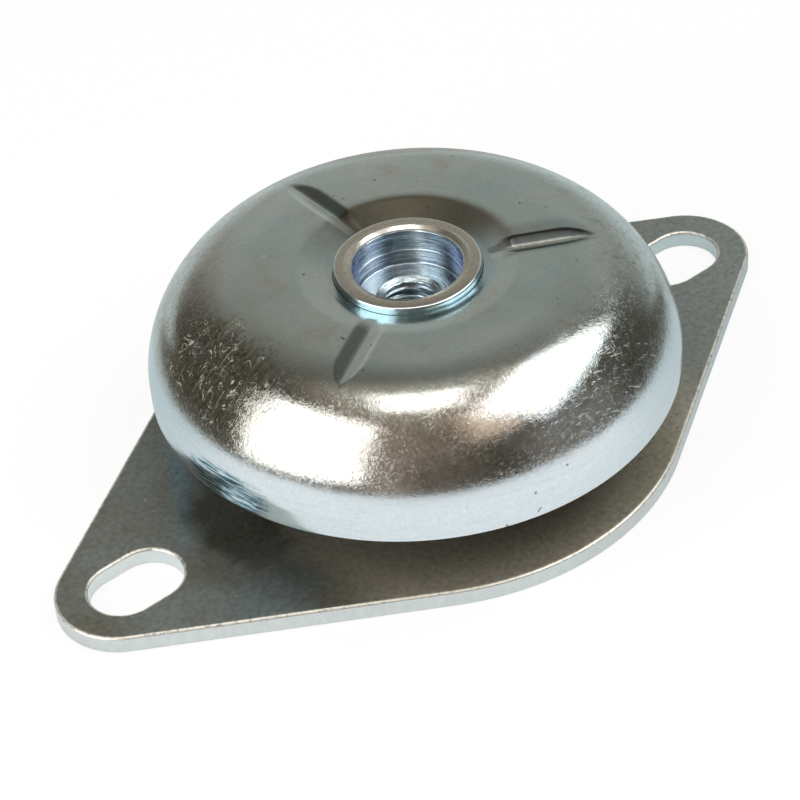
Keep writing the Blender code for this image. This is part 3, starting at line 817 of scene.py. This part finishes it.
def boss_profile():
    """The boss's section, from the top of the thread up the counterbore and down outside."""
    floor_radius = COUNTERBORE_RADIUS - TOOL_STEP
    return bent(
        [
            (THREAD_MAJOR_RADIUS, THREAD_TOP, 0),
            (COUNTERSINK_RADIUS, COUNTERBORE_FLOOR, COUNTERSINK_EDGE),
            (floor_radius, COUNTERBORE_FLOOR, COUNTERBORE_ROOT),
            (floor_radius, TOOL_STEP_HEIGHT, TOOL_STEP_ROUND),
            (COUNTERBORE_RADIUS, TOOL_STEP_HEIGHT, TOOL_STEP_ROUND),
            (COUNTERBORE_RADIUS, CROWN_HEIGHT - RIM_CHAMFER_DEPTH, TURNED_EDGE),
            (COUNTERBORE_RADIUS + RIM_CHAMFER_WIDTH, CROWN_HEIGHT, RIM_CHAMFER_ROUND),
            (BOSS_HEAD_RADIUS, CROWN_HEIGHT, BOSS_TOP_EDGE),
            (BOSS_HEAD_RADIUS, FLANGE_TOP, FINE_EDGE),
            (FLANGE_RADIUS, FLANGE_TOP, TURNED_EDGE),
            (FLANGE_RADIUS, FLANGE_BOTTOM, TURNED_EDGE),
            (STEM_RADIUS, FLANGE_BOTTOM, TURNED_EDGE),
            (STEM_RADIUS, SPIGOT_TOP, TURNED_EDGE),
            (SPIGOT_RADIUS, SPIGOT_TOP, FINE_EDGE),
            (SPIGOT_RADIUS, PEENED_TOP, FINE_EDGE),
            (PEENED_RADIUS, PEENED_TOP, PEENED_EDGE),
            (PEENED_RADIUS - PEENED_TAPER, BOSS_BOTTOM, PEENED_LOWER_EDGE),
            (THREAD_MAJOR_RADIUS, BOSS_BOTTOM, 0),
        ],
        EDGE_STEPS,
    )


def cut_thread(piece, material):
    """Line the bore with thread turns: a grid that climbs a pitch in each turn, its rows a V apart."""
    sizes = {
        "Minor radius": THREAD_MINOR_RADIUS,
        "Major radius": THREAD_MAJOR_RADIUS,
        "Pitch": THREAD_PITCH,
        "Bottom": BOSS_BOTTOM,
        "Top": THREAD_TOP,
        "Cone slope": COUNTERSINK_SLOPE,
        "Turns": math.ceil((THREAD_TOP - BOSS_BOTTOM) / THREAD_PITCH) + 1,
        "Rows in a turn": THREAD_ROWS,
        "Steps round": BOSS_STEPS,
    }
    tree, size = sized_tree("thread_turns", sizes)
    mesh = size["Mesh"]
    columns = size["Steps round"] + 1
    rows = size["Turns"] * size["Rows in a turn"] + 1
    feeds = {"Size X": 1.0, "Size Y": 1.0, "Vertices X": columns, "Vertices Y": rows}
    lining = mesh.add("GeometryNodeMeshGrid", {}, feeds)
    x, y, z = mesh.add("GeometryNodeInputPosition").parts()
    round_share = x + 0.5
    climb = (y + 0.5) * size["Turns"] * size["Pitch"]
    height = size["Bottom"] + climb - round_share * size["Pitch"]
    height = height.at_most(size["Top"]).at_least(size["Bottom"])
    phase = climb / size["Pitch"] + THREAD_NUDGE_SHARE
    phase = phase.maths("FRACT", phase)
    flank_up = (phase - THREAD_CREST_SHARE) / THREAD_FLANK_SHARE
    flank_down = (1 - phase) / THREAD_FLANK_SHARE
    cut = flank_up.at_most(flank_down).at_least(0.0).at_most(1.0)
    thread = size["Minor radius"] + cut * (size["Major radius"] - size["Minor radius"])
    upper_cone = size["Major radius"] - (size["Top"] - height) / size["Cone slope"]
    lower_cone = size["Major radius"] - (height - size["Bottom"])
    bore = thread.at_least(upper_cone).at_least(lower_cone)
    angle = round_share * (-2 * math.pi)
    across = {0: bore * angle.maths("COSINE", angle), 1: bore * angle.maths("SINE", angle)}
    spot = angle.add("ShaderNodeCombineXYZ", {}, across | {2: height})
    wound = lining.add("GeometryNodeSetPosition", {}, {"Geometry": lining, "Position": spot})
    joined = tree.nodes.new("GeometryNodeJoinGeometry")
    for part in (mesh, wound):
        tree.links.new(part.socket, joined.inputs[0])
    whole = Wire(tree, joined.outputs[0])
    whole = whole.add("GeometryNodeMergeByDistance", {}, {"Geometry": whole, "Distance": MERGE_DISTANCE})
    return settle(piece, tree, sizes, whole, material)


def boss_steel():
    """Turned steel: tan on the face, steel blue with tool rings in the counterbore, teal outside, with
    painted highlights on the back of the lip, along the top's outer edge and in streaks in the counterbore,
    and painted shade in other streaks there.
    """
    material, shader, place = finish_for("boss_steel", 1.0)
    x, y, z = place.parts()
    radius = (x * x + y * y) ** 0.5
    across = x * BACK_Y - y * BACK_X
    bore = radius.between(COUNTERBORE_RADIUS + 0.0004, COUNTERBORE_RADIUS)
    bore_ends = abs(across).between(0.0075, 0.0098) * bore
    floor = bore * z.between(COUNTERBORE_FLOOR + 0.0015, COUNTERBORE_FLOOR + 0.0003)
    countersink = radius.between(COUNTERSINK_RADIUS + 0.0002, COUNTERSINK_RADIUS - 0.0002)
    # Painted highlight: near white on the back of the counterbore's lip.
    lip = radius.between(0.0122, 0.0116) * (x * BACK_X + y * BACK_Y).between(-0.002, 0.006)
    # Painted highlight: pale along the top's outer edge.
    outer_edge_highlight = radius.between(BOSS_HEAD_RADIUS - 0.0006, BOSS_HEAD_RADIUS - 0.0004)
    side = radius.between(BOSS_HEAD_RADIUS - 0.0002, BOSS_HEAD_RADIUS - 0.00008)
    ridges = place.add("ShaderNodeCombineXYZ", {}, {0: radius, 1: z, 2: (x / radius) * 0.0004})
    rings = ridges.grain(1700, 3, 0.65)
    broad = ridges.grain(520, 2, 0.5)
    clouds = place.grain(160, 4, 0.6, 0.5)
    blur = place.grain(700, 3, 0.6)
    # Painted shade and painted highlights: dark and bright upright streaks on the counterbore's wall.
    dark = across.near(-0.0034, 0.0024) + across.near(0.0074, 0.0028)
    bright = across.near(-0.0070, 0.0018) + across.near(0.0020, 0.0026)
    colour = layered(
        clouds.between(0.35, 0.7).tint((0.60, 0.54, 0.455), (0.63, 0.585, 0.51)),
        (lip * 0.9, (1.0, 0.97, 0.91)),
        (outer_edge_highlight, (0.80, 0.87, 0.89)),
        (side, (0.42, 0.56, 0.60)),
        (bore, (0.66, 0.76, 0.83)),
        (bore * bright * (1 - floor) * 0.8, (0.92, 0.98, 1.0)),
        (bore * rings.between(0.44, 0.62) * (0.7 - bright * 0.5), (0.28, 0.35, 0.41)),
        (bore * dark * broad.between(0.26, 0.56) * 0.85, (0.16, 0.22, 0.27)),
        (bore_ends * 0.65, (0.44, 0.49, 0.80)),
        (countersink * 0.8, (0.78, 0.95, 1.0)),
        (floor * 0.6, (0.34, 0.40, 0.44)),
    )
    colour = (place.grain(1400, 3, 0.6).between(0.2, 0.75) * 0.2 + 0.86).shade(colour)
    feed(shader, Base_Color=colour, Roughness=clouds * 0.1 + blur * 0.08 + bore * 0.03 + 0.10)
    turned = relief(rings * (bore * 0.9 + 0.1), 0.00022, 0.9)
    feed(shader, Normal=relief(broad * (bore * 0.9 + 0.1), 0.0003, 0.7, turned))
    return material


boss_shape = bmesh.new()
skin(boss_shape, turned_rows(boss_shape, boss_profile(), round_angles(BOSS_STEPS)))
boss_body = as_piece("turned_boss", boss_shape)
boss = cut_thread(boss_body, boss_steel())
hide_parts("threaded_boss")
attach(boss, "bell")

# Rubber body: black natural rubber, moulded in one shot between the primed collar, the boss and
# the bell and bonded to them as it cures. It has a waist outside, and a bloom of fine grey dust
# that is thickest near the plate.
TOUCH_GAP = 0.0003
RUBBER_TOP = 0.0367
RUBBER_TOP_RADIUS = 0.0335
RUBBER_WAIST_RADIUS = 0.030
RUBBER_WAIST_HEIGHT = 0.020908
RUBBER_WAIST_BEND = 0.012
RUBBER_FOOT_RADIUS = 0.0345
RUBBER_EDGE = 0.0008
RUBBER_TOP_BEND = 0.003
RUBBER_INNER_TOP_RADIUS = 0.0210
RUBBER_TOP_FLAT = 0.003
RUBBER_BEND_STEPS = 10


def rubber_profile():
    """The rubber's section, from its inner top edge round the outside and back up along the boss."""
    foot = PLATE_THICKNESS + TOUCH_GAP
    seat = COLLAR_HEIGHT + TOUCH_GAP
    stem = STEM_RADIUS + TOUCH_GAP
    flange = FLANGE_RADIUS + TOUCH_GAP
    under_flange = FLANGE_BOTTOM - TOUCH_GAP
    return bent(
        [
            (RUBBER_INNER_TOP_RADIUS, RUBBER_TOP, 0),
            (SHOULDER_START - RUBBER_TOP_FLAT, RUBBER_TOP, 0),
            (SHOULDER_START, RUBBER_TOP, 0),
            (RUBBER_TOP_RADIUS, RUBBER_TOP, RUBBER_TOP_BEND),
            (RUBBER_WAIST_RADIUS, RUBBER_WAIST_HEIGHT, RUBBER_WAIST_BEND),
            (RUBBER_FOOT_RADIUS, foot, RUBBER_EDGE),
            (collar_radius(foot, TOUCH_GAP), foot, COLLAR_BEND - TOUCH_GAP),
            (collar_radius(seat, TOUCH_GAP), seat, COLLAR_BEND + TOUCH_GAP),
            (stem, seat, 0),
            (stem, under_flange, 0),
            (flange, under_flange, 0),
            (flange, FLANGE_TOP, 0),
        ],
        RUBBER_BEND_STEPS,
    )


def rubber_black():
    """Matt black rubber with a grey bloom and fine pores."""
    material, shader, place = finish_for("rubber_black", 0.0)
    height = place.parts()[2]
    bloom = place.grain(120, 5, 0.65).between(0.45, 0.8)
    pores = place.grain(2200, 3, 0.6)
    dust = height.between(0.012, PLATE_THICKNESS) * place.grain(600, 4, 0.6).between(0.35, 0.7)
    colour = (bloom * 0.5).tint((0.012, 0.012, 0.012), (0.032, 0.031, 0.029))
    colour = (dust * 0.45).tint(colour, (0.085, 0.080, 0.070))
    feed(shader, Base_Color=colour, Roughness=bloom * 0.16 + pores * 0.08 + 0.46)
    swell = relief(place.grain(160, 2, 0.5), 0.0001, 0.6)
    feed(shader, Normal=relief(pores, 0.00002, 0.6, swell))
    return material


rubber_shape = bmesh.new()
rubber_rows = turned_rows(rubber_shape, rubber_profile(), bell_angles())
skin(rubber_shape, rubber_rows + rubber_rows[:1])
rubber = press_grooves(as_piece("moulded_rubber", rubber_shape), rubber_black())
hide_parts("rubber_body")
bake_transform(rubber)

# Rebound washer: a thick punched washer, zinc plated, held on the spigot by the peened end. It
# meets the lip of the collar when the bell is pulled up.
WASHER_RADIUS = 0.019
WASHER_TOP = 0.0123
WASHER_BOTTOM = 0.0093
WASHER_EDGE = 0.0003


def washer_profile():
    """The washer's section as a closed path."""
    inner = SPIGOT_RADIUS + TOUCH_GAP
    middle = (inner + WASHER_RADIUS) / 2
    path = bent(
        [
            (middle, WASHER_TOP, 0),
            (WASHER_RADIUS, WASHER_TOP, WASHER_EDGE * 2),
            (WASHER_RADIUS, WASHER_BOTTOM, WASHER_EDGE),
            (inner, WASHER_BOTTOM, WASHER_EDGE),
            (inner, WASHER_TOP, WASHER_EDGE),
            (middle, WASHER_TOP, 0),
        ],
        EDGE_STEPS,
    )
    return path[:-1]


def washer_zinc():
    """Satin zinc over punched steel."""
    material, shader, place = finish_for("washer_zinc", 1.0)
    clouds = place.grain(120, 4, 0.6, 0.4)
    mottle = place.grain(1300, 3, 0.6)
    colour = clouds.between(0.35, 0.7).tint((0.50, 0.54, 0.53), (0.60, 0.63, 0.60))
    colour = (mottle.between(0.2, 0.75) * 0.3 + 0.78).shade(colour)
    feed(shader, Base_Color=colour, Roughness=clouds * 0.12 + mottle * 0.1 + 0.24)
    feed(shader, Normal=relief(mottle, 0.000012, 0.8))
    return material


washer_shape = bmesh.new()
washer_rows = turned_rows(washer_shape, washer_profile(), round_angles(ROUND_STEPS))
skin(washer_shape, washer_rows + washer_rows[:1])
washer = as_piece("thick_washer", washer_shape, washer_zinc())
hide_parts("rebound_washer")
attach(washer, "bell")

# Studio: a white sweep under a dim room, with a large softbox to the left of the camera, a
# smaller one far to the right and a small one overhead. None of it belongs to the object.
CAMERA_AZIMUTH = math.radians(-36.437)
CAMERA_ELEVATION = math.radians(40.27)
CAMERA_ROLL = math.radians(-5.268)
CAMERA_DISTANCE = 0.54407
CAMERA_TARGET = Vector((-0.008756, -0.005765, 0.015))
CAMERA_LENS = 131.75
CAMERA_SENSOR_WIDTH = 36
CAMERA_NEAREST = 0.01
CAMERA_FARTHEST = 100
FLOOR_SIZE = 30
FLOOR_DROP = 0.0001
FLOOR_LIT_SHARE = 0.45
WHITE = (1.0, 1.0, 1.0)
BLACK = (0.0, 0.0, 0.0)


def aim(azimuth, elevation):
    """The direction from the object to a place round it; azimuth 0 is towards -Y."""
    return Vector(
        (
            math.sin(azimuth) * math.cos(elevation),
            -math.cos(azimuth) * math.cos(elevation),
            math.sin(elevation),
        )
    )


def softbox(name, azimuth, elevation, distance, tilt, lean, width, height, radiance):
    """A rectangular lamp, hidden from the camera but seen in reflections.

    Its place is given from the camera's side, in degrees. Its face is turned down by the tilt, and
    its top leans to the left by the lean.
    """
    lamp = bpy.data.lights.new(name, "AREA")
    lamp.shape = "RECTANGLE"
    lamp.size = width
    lamp.size_y = height
    lamp.energy = radiance * math.pi * width * height
    box = bpy.data.objects.new(name, lamp)
    around = CAMERA_AZIMUTH + math.radians(azimuth)
    box.location = aim(around, math.radians(elevation)) * distance
    facing = aim(around, math.radians(tilt)).to_track_quat("Z", "Y")
    box.rotation_euler = (facing @ Quaternion((0, 0, 1), math.radians(lean))).to_euler()
    box.visible_camera = False
    bpy.context.scene.collection.objects.link(box)


def room():
    """The world: white to the camera; to the object a dim room with a pale wall behind it."""
    world = bpy.data.worlds.new("room")
    world.use_nodes = True
    bpy.context.scene.world = world
    tree = world.node_tree
    place = Wire(tree, tree.nodes.new("ShaderNodeTexCoord").outputs["Generated"])
    x, y, z = place.parts()

    def towards(azimuth):
        wall_x, wall_y, _ = aim(CAMERA_AZIMUTH + math.radians(azimuth), 0)
        return (x * wall_x + y * wall_y) / (x * x + y * y + 0.0001) ** 0.5

    wall = towards(172).between(0.60, 0.93) * z.between(0.93, 0.56, "LINEAR")
    window = towards(65).between(0.87, 0.98) * z.between(0.60, 0.45)
    front = towards(-18).between(0.66, 0.96) * (z.between(0.30, 0.65) * 0.55 + 0.45)
    front_edge = towards(-17).between(0.975, 0.997) * z.between(0.95, 0.85)
    peach = towards(37).between(0.960, 0.992) * z.between(0.58, 0.70) * z.between(0.95, 0.90)
    colour = layered(
        wall.tint((0.105, 0.097, 0.080), (0.40, 0.405, 0.38)),
        (wall * z.between(0.22, 0.02), (0.52, 0.55, 0.54)),
        (window, (0.28, 0.25, 0.23)),
        (front, (0.27, 0.225, 0.19)),
        (front_edge, (0.37, 0.31, 0.27)),
        (z.between(0.86, 0.95), (0.40, 0.355, 0.30)),
        (peach, (1.0, 0.78, 0.64)),
        (place.add("ShaderNodeLightPath"), WHITE),
    )
    feed(tree.nodes["Background"], Color=colour)


def sweep():
    """The floor: white to the camera with a soft shadow, greyer behind and beside it in reflections."""
    bpy.ops.mesh.primitive_plane_add(size=FLOOR_SIZE, location=(0, 0, -FLOOR_DROP))
    floor = bpy.context.object
    floor.name = "white_sweep"
    material = bpy.data.materials.new("white_sweep")
    material.use_nodes = True
    tree = material.node_tree
    tree.nodes.clear()
    place = Wire(tree, tree.nodes.new("ShaderNodeTexCoord").outputs["Object"])

    def matt(colour):
        return place.add("ShaderNodeBsdfDiffuse", {}, {"Color": as_colour(colour)})

    def glowing(colour, strength):
        return place.add("ShaderNodeEmission", {}, {"Color": as_colour(colour), "Strength": strength})

    def both(first, second):
        return place.add("ShaderNodeAddShader", {}, {0: first, 1: second})

    def either(share, first, second):
        return place.add("ShaderNodeMixShader", {}, {0: share, 1: first, 2: second})

    x, y, _ = place.parts()
    front_x, front_y, _ = aim(CAMERA_AZIMUTH, 0)
    front = x * front_x + y * front_y
    aside = abs(x * front_y - y * front_x)
    light = front.between(-0.04, 0.08)
    dim = (aside - front * 1.25).between(0.16, 0.25) * (front + aside * 0.75).between(-0.03, 0.02)
    strip = aside.between(0.05, 0.02) * front.between(-0.05, -0.07)
    paper = layered(
        light.tint((0.60, 0.68, 0.70), WHITE), (dim, (0.15, 0.15, 0.14)), (strip, (0.42, 0.44, 0.43))
    )
    feeds = {MIX_FACTOR: FLOOR_LIT_SHARE, MIX_FIRST: as_colour(BLACK), MIX_SECOND: paper}
    lit_paper = place.add("ShaderNodeMix", {"data_type": "RGBA"}, feeds, MIX_RESULT)
    mirrored = both(matt(lit_paper), glowing(paper, 0.6))
    far = ((x * x + y * y) ** 0.5).between(0.30, 0.75)
    shown = either(far, both(matt((0.12, 0.12, 0.12)), glowing(WHITE, 0.88)), glowing(WHITE, 1.0))
    path = tree.nodes.new("ShaderNodeLightPath")
    camera, glossy, through = (
        Wire(tree, path.outputs[name]) for name in ("Is Camera Ray", "Is Glossy Ray", "Is Transmission Ray")
    )
    mixed = either(camera.at_least(through), matt((0.8, 0.8, 0.8)), shown)
    mixed = either(glossy, mixed, mirrored)
    below = place.add("ShaderNodeNewGeometry", output=6)
    mixed = either(below, mixed, place.add("ShaderNodeBsdfTransparent"))
    output = tree.nodes.new("ShaderNodeOutputMaterial")
    tree.links.new(mixed.socket, output.inputs["Surface"])
    floor.data.materials.append(material)


def photographer():
    """The camera, at the photograph's place and roll."""
    lens = bpy.data.cameras.new("camera")
    lens.lens = CAMERA_LENS
    lens.sensor_width = CAMERA_SENSOR_WIDTH
    lens.clip_start = CAMERA_NEAREST
    lens.clip_end = CAMERA_FARTHEST
    camera = bpy.data.objects.new("camera", lens)
    back = aim(CAMERA_AZIMUTH, CAMERA_ELEVATION)
    right = Vector((math.cos(CAMERA_AZIMUTH), math.sin(CAMERA_AZIMUTH), 0))
    up = back.cross(right)
    rolled_right = right * math.cos(CAMERA_ROLL) + up * math.sin(CAMERA_ROLL)
    rolled_up = up * math.cos(CAMERA_ROLL) - right * math.sin(CAMERA_ROLL)
    turn = camera.matrix_world.to_3x3()
    turn.col[0] = rolled_right
    turn.col[1] = rolled_up
    turn.col[2] = back
    camera.matrix_world = turn.to_4x4()
    camera.location = CAMERA_TARGET + back * CAMERA_DISTANCE
    bpy.context.scene.collection.objects.link(camera)
    bpy.context.scene.camera = camera


softbox("left_softbox", azimuth=-56, elevation=40.5, distance=1.56, tilt=15, lean=12,
        width=1.26, height=1.72, radiance=3.0)
softbox("right_softbox", azimuth=88, elevation=57, distance=1.2, tilt=35, lean=0,
        width=1.0, height=0.74, radiance=3.0)
softbox("top_softbox", azimuth=0, elevation=89.9, distance=1.2, tilt=89.9, lean=0,
        width=0.40, height=0.40, radiance=2.7)
room()
sweep()
photographer()
bpy.context.scene.view_settings.view_transform = "Standard"
